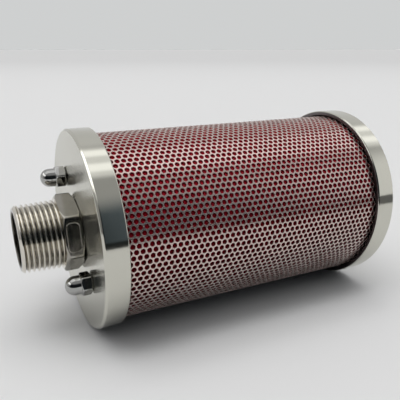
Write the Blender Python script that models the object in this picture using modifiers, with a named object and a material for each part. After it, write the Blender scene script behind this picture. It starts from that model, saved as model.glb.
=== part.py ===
"""Exhaust muffler for compressed air, lying on its side.

Two turned end caps are drawn together by two tie rods and clamp a perforated tube between them.
Air enters through the threaded nipple, fills the inner perforated tube, passes out through the
absorber blanket and the red felt sleeve, and leaves all round through the outer perforated tube.

Frame, in metres: the origin is the centre of the nipple's open end. +X runs along the muffler's axis
into the muffler, and +Z is up. Pieces that touch on the real object stand FIT_GAP apart here.
"""

import math

import bmesh
import bpy
from mathutils import Matrix

MM = 0.001

# ---- driving dimensions ----------------------------------------------------------------------

FIT_GAP = 0.3 * MM

CAP_RADIUS = 50.0 * MM
CAP_THICKNESS = 11.5 * MM
CAP_CHAMFER = 1.0 * MM
CAP_INNER_CHAMFER = 0.5 * MM

OPEN_LENGTH = 141.0 * MM  # what shows of the outer tube between the caps
OUTER_TUBE_RADIUS = 47.0 * MM
OUTER_TUBE_WALL = 1.0 * MM
OUTER_GROOVE_DEPTH = 4.5 * MM
OUTER_GROOVE_CLEARANCE = 0.5 * MM
GASKET_THICKNESS = 1.0 * MM

FELT_THICKNESS = 3.0 * MM
BLANKET_THICKNESS = 6.0 * MM

INNER_TUBE_RADIUS = 36.0 * MM
INNER_TUBE_WALL = 0.8 * MM
INNER_GROOVE_DEPTH = 3.0 * MM

# The nipple has a one-inch pipe thread on both sides of its hexagon.
PIPE_THREAD_RADIUS = 33.249 / 2 * MM
PIPE_THREAD_ROOT_RADIUS = 30.291 / 2 * MM
PIPE_THREAD_CHAMFER = 1.5 * MM
NIPPLE_BORE_RADIUS = 13.3 * MM
NIPPLE_REACH = 28.8 * MM  # from the front cap's face to the nipple's open end
NIPPLE_HEX_ACROSS_FLATS = 34.1 * MM
NIPPLE_HEX_THICKNESS = 8.7 * MM
NIPPLE_HEX_CHAMFER_RADIUS = 17.5 * MM
NIPPLE_HEX_TURN = math.radians(50.1)
NIPPLE_RELIEF_WIDTH = 0.8 * MM
NIPPLE_INNER_REACH = 5.0 * MM  # how far it stands out inside the front cap

# M6 rods with domed cap nuts in front and thin lock nuts at the rear.
ROD_RADIUS = 3.0 * MM
ROD_CHAMFER = 0.6 * MM
ROD_CIRCLE_RADIUS = 28.9 * MM
ROD_DIRECTIONS = {"upper": math.radians(57.8), "lower": math.radians(221.0)}  # from +Y towards +Z
ROD_REAR_HOLE_DEPTH = 8.0 * MM
ROD_REAR_HOLE_SPARE = 1.0 * MM

NUT_ACROSS_FLATS = 10.0 * MM
NUT_CHAMFER_RADIUS = 4.7 * MM
NUT_TURNS = {"upper": math.radians(13.0), "lower": math.radians(-22.0)}
CAP_NUT_HEX_HEIGHT = 5.0 * MM
CAP_NUT_HEIGHT = 12.0 * MM
CAP_NUT_DOME_RADIUS = 4.55 * MM
CAP_NUT_HOLE_DEPTH = 8.0 * MM
LOCK_NUT_HEIGHT = 3.2 * MM

LARGE_STEPS = 64
THREAD_STEPS = 48
SMALL_STEPS = 24
DOME_STEPS = 6
CUT_OVERRUN = 5.0 * MM  # how far a cutter stands out past what it cuts

# ---- places along the axis -------------------------------------------------------------------

FRONT_FACE = NIPPLE_REACH
FRONT_INNER_FACE = FRONT_FACE + CAP_THICKNESS
REAR_INNER_FACE = FRONT_INNER_FACE + OPEN_LENGTH
REAR_FACE = REAR_INNER_FACE + CAP_THICKNESS

HEX_REAR = FRONT_FACE - FIT_GAP
HEX_FRONT = HEX_REAR - NIPPLE_HEX_THICKNESS
NUT_SEAT = FRONT_FACE - FIT_GAP

ROD_HOLE_RADIUS = ROD_RADIUS + FIT_GAP
OUTER_TUBE_BORE = OUTER_TUBE_RADIUS - OUTER_TUBE_WALL
INNER_TUBE_BORE = INNER_TUBE_RADIUS - INNER_TUBE_WALL
GASKET_END = OUTER_GROOVE_DEPTH - FIT_GAP - GASKET_THICKNESS  # below the cap's inner face
TUBE_INSERTION = GASKET_END - FIT_GAP


# ---- materials -------------------------------------------------------------------------------


def make_material(name, colour, metallic, roughness):
    material = bpy.data.materials.new(name)
    material.use_nodes = True
    shader = material.node_tree.nodes["Principled BSDF"]
    shader.inputs["Base Color"].default_value = (*colour, 1.0)
    shader.inputs["Metallic"].default_value = metallic
    shader.inputs["Roughness"].default_value = roughness
    material.diffuse_color = (*colour, 1.0)
    return material


# ---- shapes ----------------------------------------------------------------------------------


def clear_scene():
    for obj in list(bpy.data.objects):
        bpy.data.objects.remove(obj, do_unlink=True)


def make_collection(name):
    collection = bpy.data.collections.new(name)
    bpy.context.scene.collection.children.link(collection)
    return collection


def place(obj, collection, centre):
    """Lays a piece built round its own Z axis down along +X, with that axis through centre (Y, Z)."""
    collection.objects.link(obj)
    obj.location = (0.0, centre[0], centre[1])
    obj.rotation_euler = (0.0, math.pi / 2, 0.0)
    return obj


def turned(name, collection, profile, steps, centre=(0.0, 0.0), ring=False):
    """A lathe shape. The profile lists (radius, x) from the far end down the outer side to the near end,
    and a ring's profile goes on up its bore and closes."""
    mesh = bpy.data.meshes.new(name)
    points = [(radius, 0.0, x) for radius, x in profile]
    edges = [(i, i + 1) for i in range(len(points) - 1)]
    if ring:
        edges.append((len(points) - 1, 0))
    mesh.from_pydata(points, edges, [])
    obj = place(bpy.data.objects.new(name, mesh), collection, centre)
    screw = obj.modifiers.new("Turn", "SCREW")
    screw.axis = "Z"
    screw.steps = steps
    screw.render_steps = steps
    screw.use_merge_vertices = True
    screw.merge_threshold = 1e-6
    screw.use_smooth_shade = False
    return obj


def tube_profile(outer, bore, start, end):
    return [(outer, end), (outer, start), (bore, start), (bore, end)]


def hexagon(name, collection, across_flats, start, end, turn, centre=(0.0, 0.0)):
    """A plain hexagonal bar. One corner points from the axis at the angle turn, from +Z towards -Y."""
    build = bmesh.new()
    corner_radius = across_flats / math.sqrt(3)
    first_corner = turn + math.pi / 2  # create_cone starts its ring at local +Y
    bmesh.ops.create_cone(
        build,
        cap_ends=True,
        segments=6,
        radius1=corner_radius,
        radius2=corner_radius,
        depth=end - start,
        matrix=Matrix.Translation((0.0, 0.0, (start + end) / 2)) @ Matrix.Rotation(first_corner, 4, "Z"),
    )
    mesh = bpy.data.meshes.new(name)
    build.to_mesh(mesh)
    build.free()
    return place(bpy.data.objects.new(name, mesh), collection, centre)


def combine(obj, tool, operation):
    modifier = obj.modifiers.new(operation.title(), "BOOLEAN")
    modifier.operation = operation
    modifier.solver = "EXACT"
    modifier.object = tool
    tool.hide_render = True
    tool.display_type = "WIRE"


def chamfer_envelope(name, collection, start, end, face_radius, across_flats, centre=(0.0, 0.0)):
    """The turned blank of a nut, whose 30 degree cones take the corners off both ends of its hexagon."""
    widest = across_flats / math.sqrt(3) + 1.0 * MM
    drop = (widest - face_radius) * math.tan(math.radians(30))
    profile = [
        (0.0, end),
        (face_radius, end),
        (widest, end - drop),
        (widest, start + drop),
        (face_radius, start),
        (0.0, start),
    ]
    return turned(name, collection, profile, THREAD_STEPS, centre)


def rod_centre(side):
    direction = ROD_DIRECTIONS[side]
    return ROD_CIRCLE_RADIUS * math.cos(direction), ROD_CIRCLE_RADIUS * math.sin(direction)


# ---- end caps --------------------------------------------------------------------------------


def groove(inner_radius, outer_radius, face, depth):
    """Four points of a ring groove, from its outer lip to its inner lip. A negative depth cuts towards -X."""
    return [(outer_radius, face), (outer_radius, face + depth), (inner_radius, face + depth), (inner_radius, face)]


def cap_grooves(face, into):
    """The outer and the inner tube's grooves in a cap's inner face, from the outside in."""
    outer = groove(
        OUTER_TUBE_BORE - OUTER_GROOVE_CLEARANCE,
        OUTER_TUBE_RADIUS + OUTER_GROOVE_CLEARANCE,
        face,
        into * OUTER_GROOVE_DEPTH,
    )
    inner = groove(
        INNER_TUBE_BORE - FIT_GAP,
        INNER_TUBE_RADIUS + FIT_GAP,
        face,
        into * INNER_GROOVE_DEPTH,
    )
    return outer + inner


def make_front_end_cap(parts, cutters):
    bore = PIPE_THREAD_RADIUS + FIT_GAP
    from_outside_in = cap_grooves(FRONT_INNER_FACE, -1)
    profile = [
        (CAP_RADIUS - CAP_INNER_CHAMFER, FRONT_INNER_FACE),
        (CAP_RADIUS, FRONT_INNER_FACE - CAP_INNER_CHAMFER),
        (CAP_RADIUS, FRONT_FACE + CAP_CHAMFER),
        (CAP_RADIUS - CAP_CHAMFER, FRONT_FACE),
        (bore, FRONT_FACE),
        (bore, FRONT_INNER_FACE),
        *reversed(from_outside_in),
    ]
    cap = turned("front_end_cap", parts, profile, LARGE_STEPS, ring=True)
    for side in ROD_DIRECTIONS:
        through = [
            (0.0, FRONT_INNER_FACE + CUT_OVERRUN),
            (ROD_HOLE_RADIUS, FRONT_INNER_FACE + CUT_OVERRUN),
            (ROD_HOLE_RADIUS, FRONT_FACE - CUT_OVERRUN),
            (0.0, FRONT_FACE - CUT_OVERRUN),
        ]
        drill = turned(f"front_hole_{side}", cutters, through, SMALL_STEPS, rod_centre(side))
        combine(cap, drill, "DIFFERENCE")
    return cap


def make_rear_end_cap(parts, cutters):
    profile = [
        (0.0, REAR_FACE),
        (CAP_RADIUS - CAP_CHAMFER, REAR_FACE),
        (CAP_RADIUS, REAR_FACE - CAP_CHAMFER),
        (CAP_RADIUS, REAR_INNER_FACE + CAP_INNER_CHAMFER),
        (CAP_RADIUS - CAP_INNER_CHAMFER, REAR_INNER_FACE),
        *cap_grooves(REAR_INNER_FACE, +1),
        (0.0, REAR_INNER_FACE),
    ]
    cap = turned("rear_end_cap", parts, profile, LARGE_STEPS)
    for side in ROD_DIRECTIONS:
        blind = [
            (0.0, REAR_INNER_FACE + ROD_REAR_HOLE_DEPTH),
            (ROD_HOLE_RADIUS, REAR_INNER_FACE + ROD_REAR_HOLE_DEPTH),
            (ROD_HOLE_RADIUS, REAR_INNER_FACE - CUT_OVERRUN),
            (0.0, REAR_INNER_FACE - CUT_OVERRUN),
        ]
        drill = turned(f"rear_hole_{side}", cutters, blind, SMALL_STEPS, rod_centre(side))
        combine(cap, drill, "DIFFERENCE")
    return cap


# ---- tubes, packing and gaskets --------------------------------------------------------------


def make_outer_perforated_tube(parts):
    profile = tube_profile(
        OUTER_TUBE_RADIUS,
        OUTER_TUBE_BORE,
        FRONT_INNER_FACE - TUBE_INSERTION,
        REAR_INNER_FACE + TUBE_INSERTION,
    )
    return turned("outer_perforated_tube", parts, profile, LARGE_STEPS, ring=True)


def make_inner_perforated_tube(parts):
    insertion = INNER_GROOVE_DEPTH - FIT_GAP
    profile = tube_profile(
        INNER_TUBE_RADIUS,
        INNER_TUBE_BORE,
        FRONT_INNER_FACE - insertion,
        REAR_INNER_FACE + insertion,
    )
    return turned("inner_perforated_tube", parts, profile, LARGE_STEPS, ring=True)


def make_red_felt_sleeve(parts):
    outer = OUTER_TUBE_BORE - FIT_GAP
    profile = tube_profile(
        outer, outer - FELT_THICKNESS, FRONT_INNER_FACE + FIT_GAP, REAR_INNER_FACE - FIT_GAP
    )
    return turned("red_felt_sleeve", parts, profile, LARGE_STEPS, ring=True)


def make_absorber_blanket(parts):
    outer = OUTER_TUBE_BORE - FELT_THICKNESS - 2 * FIT_GAP
    profile = tube_profile(
        outer, outer - BLANKET_THICKNESS, FRONT_INNER_FACE + FIT_GAP, REAR_INNER_FACE - FIT_GAP
    )
    return turned("absorber_blanket", parts, profile, LARGE_STEPS, ring=True)


def make_tube_gasket(name, parts, start, end):
    spare = OUTER_GROOVE_CLEARANCE - FIT_GAP
    profile = tube_profile(OUTER_TUBE_RADIUS + spare, OUTER_TUBE_BORE - spare, start, end)
    return turned(name, parts, profile, LARGE_STEPS, ring=True)


# ---- nipple ----------------------------------------------------------------------------------


def make_hex_nipple(parts, cutters):
    nipple = hexagon("hex_nipple", parts, NIPPLE_HEX_ACROSS_FLATS, HEX_FRONT, HEX_REAR, NIPPLE_HEX_TURN)
    envelope = chamfer_envelope(
        "nipple_hex_blank", cutters, HEX_FRONT, HEX_REAR, NIPPLE_HEX_CHAMFER_RADIUS, NIPPLE_HEX_ACROSS_FLATS
    )
    combine(nipple, envelope, "INTERSECT")
    tip = PIPE_THREAD_RADIUS - PIPE_THREAD_CHAMFER
    inner_end = FRONT_INNER_FACE + NIPPLE_INNER_REACH
    stem_profile = [
        (0.0, inner_end),
        (tip, inner_end),
        (PIPE_THREAD_RADIUS, inner_end - PIPE_THREAD_CHAMFER),
        (PIPE_THREAD_RADIUS, HEX_REAR - FIT_GAP),
        (PIPE_THREAD_ROOT_RADIUS, HEX_REAR - FIT_GAP),
        (PIPE_THREAD_ROOT_RADIUS, HEX_FRONT - NIPPLE_RELIEF_WIDTH),
        (PIPE_THREAD_RADIUS, HEX_FRONT - NIPPLE_RELIEF_WIDTH),
        (PIPE_THREAD_RADIUS, PIPE_THREAD_CHAMFER),
        (tip, 0.0),
        (0.0, 0.0),
    ]
    combine(nipple, turned("nipple_stem", cutters, stem_profile, THREAD_STEPS), "UNION")
    bore_profile = [
        (0.0, inner_end + CUT_OVERRUN),
        (NIPPLE_BORE_RADIUS, inner_end + CUT_OVERRUN),
        (NIPPLE_BORE_RADIUS, -CUT_OVERRUN),
        (0.0, -CUT_OVERRUN),
    ]
    combine(nipple, turned("nipple_bore", cutters, bore_profile, THREAD_STEPS), "DIFFERENCE")
    return nipple


# ---- tie rods and nuts -----------------------------------------------------------------------


def make_tie_rod(side, parts):
    start = NUT_SEAT - CAP_NUT_HOLE_DEPTH + FIT_GAP
    end = REAR_INNER_FACE + ROD_REAR_HOLE_DEPTH - ROD_REAR_HOLE_SPARE
    profile = [
        (0.0, end),
        (ROD_RADIUS - ROD_CHAMFER, end),
        (ROD_RADIUS, end - ROD_CHAMFER),
        (ROD_RADIUS, start + ROD_CHAMFER),
        (ROD_RADIUS - ROD_CHAMFER, start),
        (0.0, start),
    ]
    return turned(f"tie_rod_{side}", parts, profile, SMALL_STEPS, rod_centre(side))


def dome_profile(tip, radius):
    """Half round end with its tip at x = tip, facing -X, as (radius, x) from the rim to the axis."""
    centre = tip + radius
    angles = [math.pi / 2 * i / DOME_STEPS for i in range(DOME_STEPS + 1)]
    return [(radius * math.cos(a) if a < math.pi / 2 else 0.0, centre - radius * math.sin(a)) for a in angles]


def make_acorn_nut(side, parts, cutters):
    centre = rod_centre(side)
    hex_front = NUT_SEAT - CAP_NUT_HEX_HEIGHT
    nut = hexagon(
        f"acorn_nut_{side}", parts, NUT_ACROSS_FLATS, hex_front, NUT_SEAT, NUT_TURNS[side], centre
    )
    blank = chamfer_envelope(
        f"cap_nut_blank_{side}", cutters, hex_front, NUT_SEAT, NUT_CHAMFER_RADIUS, NUT_ACROSS_FLATS, centre
    )
    combine(nut, blank, "INTERSECT")
    root = NUT_SEAT - CAP_NUT_HEX_HEIGHT / 2
    dome = [
        (0.0, root),
        (CAP_NUT_DOME_RADIUS, root),
        *dome_profile(NUT_SEAT - CAP_NUT_HEIGHT, CAP_NUT_DOME_RADIUS),
    ]
    combine(nut, turned(f"cap_nut_dome_{side}", cutters, dome, SMALL_STEPS, centre), "UNION")
    hole = [
        (0.0, NUT_SEAT + CUT_OVERRUN),
        (ROD_HOLE_RADIUS, NUT_SEAT + CUT_OVERRUN),
        (ROD_HOLE_RADIUS, NUT_SEAT - CAP_NUT_HOLE_DEPTH),
        (0.0, NUT_SEAT - CAP_NUT_HOLE_DEPTH),
    ]
    combine(nut, turned(f"cap_nut_hole_{side}", cutters, hole, SMALL_STEPS, centre), "DIFFERENCE")
    return nut


def make_rod_lock_nut(side, parts, cutters):
    centre = rod_centre(side)
    end = REAR_INNER_FACE - FIT_GAP
    start = end - LOCK_NUT_HEIGHT
    nut = hexagon(f"rod_lock_nut_{side}", parts, NUT_ACROSS_FLATS, start, end, NUT_TURNS[side], centre)
    blank = chamfer_envelope(
        f"lock_nut_blank_{side}", cutters, start, end, NUT_CHAMFER_RADIUS, NUT_ACROSS_FLATS, centre
    )
    combine(nut, blank, "INTERSECT")
    hole = [
        (0.0, end + CUT_OVERRUN),
        (ROD_HOLE_RADIUS, end + CUT_OVERRUN),
        (ROD_HOLE_RADIUS, start - CUT_OVERRUN),
        (0.0, start - CUT_OVERRUN),
    ]
    combine(nut, turned(f"lock_nut_hole_{side}", cutters, hole, SMALL_STEPS, centre), "DIFFERENCE")
    return nut


# ---- the assembly ----------------------------------------------------------------------------


def main():
    clear_scene()
    parts = make_collection("pneumatic_muffler")
    cutters = make_collection("cutters")

    cap_steel = make_material("brushed cap steel", (0.62, 0.61, 0.58), 1.0, 0.28)
    sheet_steel = make_material("perforated sheet steel", (0.66, 0.62, 0.59), 1.0, 0.32)
    nipple_steel = make_material("cast and threaded steel", (0.50, 0.49, 0.47), 1.0, 0.30)
    bright_steel = make_material("polished nut steel", (0.72, 0.72, 0.72), 1.0, 0.10)
    rod_steel = make_material("rod steel", (0.58, 0.58, 0.57), 1.0, 0.25)
    red_felt = make_material("red felt", (0.38, 0.012, 0.04), 0.0, 0.95)
    pale_wool = make_material("pale absorber wool", (0.68, 0.64, 0.55), 0.0, 0.98)
    black_rubber = make_material("black rubber", (0.02, 0.02, 0.02), 0.0, 0.70)

    front_groove_floor = FRONT_INNER_FACE - OUTER_GROOVE_DEPTH + FIT_GAP
    rear_groove_floor = REAR_INNER_FACE + OUTER_GROOVE_DEPTH - FIT_GAP
    pieces = {
        make_front_end_cap(parts, cutters): cap_steel,
        make_rear_end_cap(parts, cutters): cap_steel,
        make_outer_perforated_tube(parts): sheet_steel,
        make_inner_perforated_tube(parts): sheet_steel,
        make_red_felt_sleeve(parts): red_felt,
        make_absorber_blanket(parts): pale_wool,
        make_tube_gasket(
            "front_tube_gasket", parts, front_groove_floor, front_groove_floor + GASKET_THICKNESS
        ): black_rubber,
        make_tube_gasket(
            "rear_tube_gasket", parts, rear_groove_floor - GASKET_THICKNESS, rear_groove_floor
        ): black_rubber,
        make_hex_nipple(parts, cutters): nipple_steel,
    }
    for side in ROD_DIRECTIONS:
        pieces[make_tie_rod(side, parts)] = rod_steel
        pieces[make_acorn_nut(side, parts, cutters)] = bright_steel
        pieces[make_rod_lock_nut(side, parts, cutters)] = rod_steel

    for piece, material in pieces.items():
        piece.data.materials.append(material)
        piece.data.shade_smooth()
        piece.data.set_sharp_from_angle(angle=math.radians(30))

    assembly = bpy.data.objects.new("muffler_assembly", None)
    parts.objects.link(assembly)
    for piece in pieces:
        piece.parent = assembly
    cutters.hide_render = True


main()
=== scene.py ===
"""The looks of a pneumatic muffler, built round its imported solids.

Everything is in metres in the part's own frame: the origin is the centre of the nipple's open end, +X runs
along the axis into the muffler and +Z is up. Angles round the axis are measured from +Z towards -Y, so
that 90 degrees faces the viewer's side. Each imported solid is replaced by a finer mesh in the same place.
"""
import math
import random

import bpy
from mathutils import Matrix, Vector, noise


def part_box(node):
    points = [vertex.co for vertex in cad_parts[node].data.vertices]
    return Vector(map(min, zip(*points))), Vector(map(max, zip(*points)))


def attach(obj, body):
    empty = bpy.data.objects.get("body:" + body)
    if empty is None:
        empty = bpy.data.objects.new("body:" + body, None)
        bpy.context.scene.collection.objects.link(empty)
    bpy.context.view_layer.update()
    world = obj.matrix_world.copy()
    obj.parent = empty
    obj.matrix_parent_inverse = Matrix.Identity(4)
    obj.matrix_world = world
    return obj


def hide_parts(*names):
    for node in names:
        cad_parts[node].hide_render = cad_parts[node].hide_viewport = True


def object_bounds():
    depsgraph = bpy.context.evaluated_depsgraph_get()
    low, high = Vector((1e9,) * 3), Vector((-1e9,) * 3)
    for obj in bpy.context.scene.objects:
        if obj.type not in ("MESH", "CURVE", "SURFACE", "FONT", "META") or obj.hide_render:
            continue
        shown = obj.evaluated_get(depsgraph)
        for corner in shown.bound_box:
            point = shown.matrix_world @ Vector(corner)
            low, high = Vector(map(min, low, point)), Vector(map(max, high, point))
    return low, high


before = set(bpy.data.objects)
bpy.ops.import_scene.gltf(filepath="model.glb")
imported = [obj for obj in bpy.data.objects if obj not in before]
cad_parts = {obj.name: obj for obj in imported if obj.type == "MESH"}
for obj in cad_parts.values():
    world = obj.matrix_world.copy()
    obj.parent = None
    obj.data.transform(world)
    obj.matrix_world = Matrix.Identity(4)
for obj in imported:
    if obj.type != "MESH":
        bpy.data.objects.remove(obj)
CAD_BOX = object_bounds()

MM = 0.001

# ---- places and sizes that come from the frame


def extent(node):
    """A turned node's start and end along X and its outer radius, about its own centre line."""
    low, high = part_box(node)
    return low.x, high.x, (high.y - low.y) / 2


def centre_line(node):
    low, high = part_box(node)
    return (low.y + high.y) / 2, (low.z + high.z) / 2


FRONT_FACE, FRONT_INNER_FACE, CAP_RADIUS = extent("front_end_cap")
REAR_INNER_FACE, REAR_FACE, _ = extent("rear_end_cap")
TUBE_START, TUBE_END, TUBE_RADIUS = extent("outer_perforated_tube")
INNER_TUBE_START, INNER_TUBE_END, INNER_TUBE_RADIUS = extent("inner_perforated_tube")
PACKING_START, PACKING_END, FELT_RADIUS = extent("red_felt_sleeve")
BLANKET_RADIUS = extent("absorber_blanket")[2]
NIPPLE_START, NIPPLE_END, _ = extent("hex_nipple")
ROD_START, ROD_END, ROD_RADIUS = extent("tie_rod_upper")
NUT_TIP, NUT_SEAT, _ = extent("acorn_nut_upper")
LOCK_NUT_START, LOCK_NUT_END, _ = extent("rod_lock_nut_upper")
SIDES = ("upper", "lower")
ROD_CENTRES = {side: centre_line(f"tie_rod_{side}") for side in SIDES}
GASKETS = {name: extent(name) for name in ("front_tube_gasket", "rear_tube_gasket")}

# ---- sizes that repeat the solids' design

FIT_GAP = 0.3 * MM
CAP_CHAMFER = 1.0 * MM
CAP_INNER_CHAMFER = 0.5 * MM
CAP_EDGE_ROUNDING = 0.6 * MM
TUBE_WALL = 1.0 * MM
TUBE_GROOVE_DEPTH = 4.5 * MM
TUBE_GROOVE_CLEARANCE = 0.5 * MM
FELT_THICKNESS = 3.0 * MM
BLANKET_THICKNESS = 6.0 * MM
INNER_TUBE_WALL = 0.8 * MM
INNER_GROOVE_DEPTH = 3.0 * MM

THREAD_RADIUS = 33.249 / 2 * MM
THREAD_ROOT_RADIUS = 30.291 / 2 * MM
THREAD_PITCH = 2.309 * MM
THREAD_CHAMFER = 1.2 * MM
THREAD_TAPER = 1 / 32  # of the radius, per length
THREAD_FULLNESS = 0.8  # under 1, the crests are wider than the roots
THREAD_GAUGE_LENGTH = 10.4 * MM  # from the open end to where the thread has its nominal radius
NIPPLE_BORE_RADIUS = 13.3 * MM
NIPPLE_EDGE = 0.6 * MM
HEX_ACROSS_FLATS = 34.1 * MM
HEX_THICKNESS = 8.7 * MM
HEX_CHAMFER_RADIUS = 17.5 * MM
HEX_TURN = math.radians(50.1)
HEX_CORNER_ROUNDING = 0.9 * MM
HEX_REAR = FRONT_FACE - FIT_GAP
HEX_FRONT = HEX_REAR - HEX_THICKNESS
RELIEF_WIDTH = 0.8 * MM
RELIEF_RADIUS = THREAD_ROOT_RADIUS - 0.05 * MM

NUT_ACROSS_FLATS = 10.0 * MM
NUT_CHAMFER_RADIUS = 4.7 * MM
NUT_CORNER_ROUNDING = 0.45 * MM
NUT_HOLE_CHAMFER = 0.3 * MM
NUT_TURNS = {"upper": math.radians(13.0), "lower": math.radians(-22.0)}
CAP_NUT_HEX_HEIGHT = 5.0 * MM
CAP_NUT_DOME_RADIUS = 4.55 * MM
CAP_NUT_HOLE_DEPTH = 8.0 * MM
ROD_HOLE_RADIUS = ROD_RADIUS + FIT_GAP
ROD_REAR_HOLE_DEPTH = 8.0 * MM
ROD_PITCH = 1.0 * MM
ROD_ROOT_RADIUS = 2.45 * MM
ROD_END_CHAMFER = 0.6 * MM
ROD_RUN_OUT = 0.3 * MM  # the chamfer where a thread meets the plain shank
ROD_FRONT_THREAD = 16.0 * MM
ROD_REAR_THREAD = 14.0 * MM
GASKET_ROUNDING = 0.25 * MM

# ---- the perforated sheets

HOLE_PITCH = 3.0 * MM
HOLE_RADIUS = 1.15 * MM
HOLE_EDGE = 0.15 * MM
HOLE_ROWS = 109
ROW_STEP = math.radians(3.259)
FIRST_ROW = math.radians(205.03)
INNER_HOLE_PITCH = 5.0 * MM
INNER_HOLE_RADIUS = 1.5 * MM
INNER_HOLE_ROWS = 51
INNER_ROW_STEP = math.radians(6.892)
HOLE_ANCHOR = FRONT_FACE + 0.05 * MM
HOLE_SIDES = 12
SEAM_STRIPS = 3
LATTICE_MARGIN = 0.35 * MM  # the least sheet left between a hole and the tube's end
FELT_BULGE = 0.75 * MM
BULGE_RING = (0.62, 0.72)  # where a bulge bends: its share of the hole's radius and of the bulge's height

CAP_STEPS = 256
NIPPLE_STEPS = 240
DRILL_STEPS = 64
NUT_STEPS = 144
ROD_STEPS = 32
SOFT_STEPS = 160
OVERRUN = 5.0 * MM  # how far a cutter stands out past what it cuts

# ---- light and camera

CAMERA_PLACE = (-0.01835, -0.23048, 0.08544)
CAMERA_PITCH = 20.971  # degrees below the horizon
CAMERA_YAW = 26.426  # degrees from +Y towards +X
CAMERA_LENS = 43.68
CAMERA_SHIFT = (0.00715, 0.08465)
FLOOR_ALBEDO = 0.82
FLOOR_BOUNCE = 0.02  # the share of its light that the floor passes on to matt surfaces
ROOM_DARK = (0.095, 0.118, 0.135)
CAMERA_SIDE = (0.012, 0.015, 0.018)
CEILING = 0.40
PANEL = 0.92  # the overhead light between its two brighter strips
STRIP = 0.5  # what each strip adds to it
SIDE_LIGHT = 1.8  # a light high on the left, which only polished surfaces show
MATT_GAIN = (1.12, 2.42)  # from the walls and from overhead, for light on matt surfaces
MATT_FROM_SIDES = (1.65, 0.35)  # the share of it that comes from the left and from the right
MATT_FROM_FRONT = (1.35, 0.65)  # the same from the camera's side and from behind the muffler
MATT_FROM_HORIZON = 0.5
BACKDROP = (0.62, 0.63, 0.63)
TABLE_EDGE_DISTANCE = 0.65


# ---- mesh helpers


def add_object(name, mesh):
    obj = bpy.data.objects.new(name, mesh)
    bpy.context.scene.collection.objects.link(obj)
    return obj


def add_mesh(name, vertices, faces):
    mesh = bpy.data.meshes.new(name)
    mesh.from_pydata(vertices, [], faces)
    return add_object(name, mesh)


def settle(obj):
    """Applies an object's modifiers, so that its mesh is final."""
    bpy.context.view_layer.update()
    evaluated = obj.evaluated_get(bpy.context.evaluated_depsgraph_get())
    mesh = bpy.data.meshes.new_from_object(evaluated)
    obj.modifiers.clear()
    obj.data = mesh
    return obj


def smooth(obj, angle=40.0):
    """Smooth shading that keeps large faces flat beside their small rounded edges."""
    obj.data.shade_smooth()
    obj.data.set_sharp_from_angle(angle=math.radians(angle))
    obj.modifiers.new("Normals", "WEIGHTED_NORMAL").keep_sharp = True
    return obj


def spread(start, end, count):
    """Evenly spaced values from start to end, both included."""
    return [start + (end - start) * i / count for i in range(count + 1)]


def around(x, radius, angle, centre=(0.0, 0.0)):
    """A point at that radius and angle round a line along X through centre (Y, Z)."""
    return x, centre[0] - radius * math.sin(angle), centre[1] + radius * math.cos(angle)


def revolve(name, rings, steps, centre=(0.0, 0.0), closed=False):
    """A closed surface round a line along X. Each ring is (x, radius), and a radius may be a function of the
    angle. The rings run from the near end down the outer side to the far end. A closed surface goes on
    from its last ring to its first, and any other starts and ends on the line itself."""
    angles = [2 * math.pi * i / steps for i in range(steps)]
    vertices, starts = [], []
    for x, radius in rings:
        starts.append(len(vertices))
        if radius == 0:
            vertices.append((x, *centre))
            continue
        for angle in angles:
            r = radius(angle) if callable(radius) else radius
            vertices.append(around(x, r, angle, centre))
    faces = []
    pairs = [(i, i + 1) for i in range(len(rings) - 1)] + ([(len(rings) - 1, 0)] if closed else [])
    for i, j in pairs:
        a, b = starts[i], starts[j]
        for k in range(steps):
            n = (k + 1) % steps
            if rings[i][1] == 0:
                faces.append((a, b + n, b + k))
            elif rings[j][1] == 0:
                faces.append((a + k, a + n, b))
            else:
                faces.append((a + k, a + n, b + n, b + k))
    return add_mesh(name, vertices, faces)


def filleted(profile, radius, steps=3, closed=False):
    """The profile with its corners rounded, apart from the ends of an open one."""
    points = [Vector(point) for point in profile]
    result = []
    for i, corner in enumerate(points):
        if not closed and i in (0, len(points) - 1):
            result.append(tuple(corner))
            continue
        before = points[i - 1] - corner
        after = points[(i + 1) % len(points)] - corner
        reach = min(radius / math.tan(before.angle(after) / 2), before.length * 0.45, after.length * 0.45)
        start = corner + before.normalized() * reach
        end = corner + after.normalized() * reach
        for step in range(steps + 1):
            t = step / steps
            result.append(tuple(start * (1 - t) ** 2 + corner * 2 * t * (1 - t) + end * t**2))
    return result


def cut(obj, tool):
    modifier = obj.modifiers.new("Cut", "BOOLEAN")
    modifier.operation = "DIFFERENCE"
    modifier.solver = "EXACT"
    modifier.object = tool
    settle(obj)
    bpy.data.objects.remove(tool, do_unlink=True)


def drill(radius, start, end, centre):
    return revolve("drill", [(start, 0), (start, radius), (end, radius), (end, 0)], DRILL_STEPS, centre)


def soft_minimum(a, b, width):
    """The smaller of two lengths, with a rounded change from one to the other."""
    overlap = max(width - abs(a - b), 0.0) / width
    return min(a, b) - overlap * overlap * width / 4


def hexagon_radius(across_flats, turn, rounding, limit=None):
    """The outline of a hexagon with rounded corners, one at the angle turn, cut to a round limit."""

    def radius(angle):
        from_corner = (angle - turn) % (math.pi / 3)
        one = across_flats / 2 / math.cos(math.pi / 6 - from_corner)
        other_angle = from_corner + math.pi / 6 if from_corner < math.pi / 6 else math.pi / 2 - from_corner
        other = across_flats / 2 / math.cos(min(other_angle, math.radians(80)))
        r = soft_minimum(one, other, rounding)
        return r if limit is None else soft_minimum(r, limit, rounding * 0.6)

    return radius


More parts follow.
